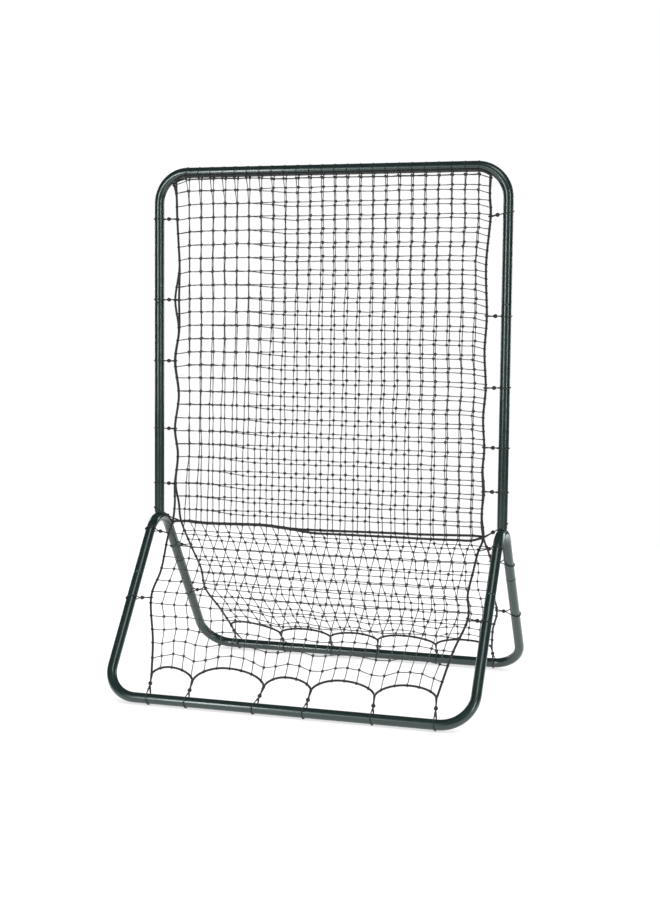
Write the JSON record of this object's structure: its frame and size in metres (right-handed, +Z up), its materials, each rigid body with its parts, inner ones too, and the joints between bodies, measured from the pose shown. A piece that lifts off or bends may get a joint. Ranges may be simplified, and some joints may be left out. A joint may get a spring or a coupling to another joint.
{
  "type": "pitch back rebounder",
  "caption": "Free-standing ball rebounder: two upright nets on a slip-jointed tube frame, each splayed to its own foot bar",
  "frame": {"origin": "on the ground, midway between the two foot bars and between the two posts", "axes": "+X to the right along the foot bars, +Y from the front foot bar to the rear one, +Z up the posts"},
  "size_m": [1.1366, 0.8306, 1.592],
  "materials": {
    "painted_tube": "gloss powder coat, dark green grey",
    "button_steel": "zinc plated",
    "spring_steel": "plain spring steel",
    "net_twine": "knotted black polyethylene twine",
    "border_cord": "braided black cord",
    "elastic_cord": "braided black elastic",
    "tie_ball": "moulded black plastic"
  },
  "bodies": {
    "stand": {"top_frame": "painted_tube", "left_post": "painted_tube", "right_post": "painted_tube", "left_wishbone": "painted_tube", "right_wishbone": "painted_tube", "front_foot_frame": "painted_tube", "rear_foot_frame": "painted_tube", "front_net_upper": "net_twine", "front_net_lower": "net_twine", "rear_net_upper": "net_twine", "rear_net_lower": "net_twine", "front_border_cord": "border_cord", "rear_border_cord": "border_cord", "front_junction_cord": "border_cord", "rear_junction_cord": "border_cord", "left_post_ties": "elastic_cord", "right_post_ties": "elastic_cord", "waist_ties": "elastic_cord", "front_leg_ties": "elastic_cord", "rear_leg_ties": "elastic_cord", "front_foot_ties": "elastic_cord", "rear_foot_ties": "elastic_cord", "left_post_balls": "tie_ball", "right_post_balls": "tie_ball", "waist_balls": "tie_ball", "front_leg_balls": "tie_ball", "rear_leg_balls": "tie_ball", "front_foot_balls": "tie_ball", "rear_foot_balls": "tie_ball"},
    "left_top_snap": {"left_top_button": "button_steel", "left_top_spring": "spring_steel"},
    "right_top_snap": {"right_top_button": "button_steel", "right_top_spring": "spring_steel"},
    "left_crown_snap": {"left_crown_button": "button_steel", "left_crown_spring": "spring_steel"},
    "right_crown_snap": {"right_crown_button": "button_steel", "right_crown_spring": "spring_steel"},
    "left_front_leg_snap": {"left_front_leg_button": "button_steel", "left_front_leg_spring": "spring_steel"},
    "right_front_leg_snap": {"right_front_leg_button": "button_steel", "right_front_leg_spring": "spring_steel"},
    "left_rear_leg_snap": {"left_rear_leg_button": "button_steel", "left_rear_leg_spring": "spring_steel"},
    "right_rear_leg_snap": {"right_rear_leg_button": "button_steel", "right_rear_leg_spring": "spring_steel"}
  },
  "joints": [
    {"name": "left_top_press", "type": "slide", "parent": "stand", "child": "left_top_snap", "axis": [0, -1, 0], "range_m": [0, 0.0044], "stiffness_N_per_m": 1500, "springref_m": -0.001},
    {"name": "right_top_press", "type": "slide", "parent": "stand", "child": "right_top_snap", "axis": [0, -1, 0], "range_m": [0, 0.0044], "stiffness_N_per_m": 1500, "springref_m": -0.001},
    {"name": "left_crown_press", "type": "slide", "parent": "stand", "child": "left_crown_snap", "axis": [0, -1, 0], "range_m": [0, 0.0044], "stiffness_N_per_m": 1500, "springref_m": -0.001},
    {"name": "right_crown_press", "type": "slide", "parent": "stand", "child": "right_crown_snap", "axis": [0, -1, 0], "range_m": [0, 0.0044], "stiffness_N_per_m": 1500, "springref_m": -0.001},
    {"name": "left_front_leg_press", "type": "slide", "parent": "stand", "child": "left_front_leg_snap", "axis": [0, -0.8081, 0.589], "range_m": [0, 0.0044], "stiffness_N_per_m": 1500, "springref_m": -0.001},
    {"name": "right_front_leg_press", "type": "slide", "parent": "stand", "child": "right_front_leg_snap", "axis": [0, -0.8081, 0.589], "range_m": [0, 0.0044], "stiffness_N_per_m": 1500, "springref_m": -0.001},
    {"name": "left_rear_leg_press", "type": "slide", "parent": "stand", "child": "left_rear_leg_snap", "axis": [0, -0.8081, -0.589], "range_m": [0, 0.0044], "stiffness_N_per_m": 1500, "springref_m": -0.001},
    {"name": "right_rear_leg_press", "type": "slide", "parent": "stand", "child": "right_rear_leg_snap", "axis": [0, -0.8081, -0.589], "range_m": [0, 0.0044], "stiffness_N_per_m": 1500, "springref_m": -0.001}
  ]
}
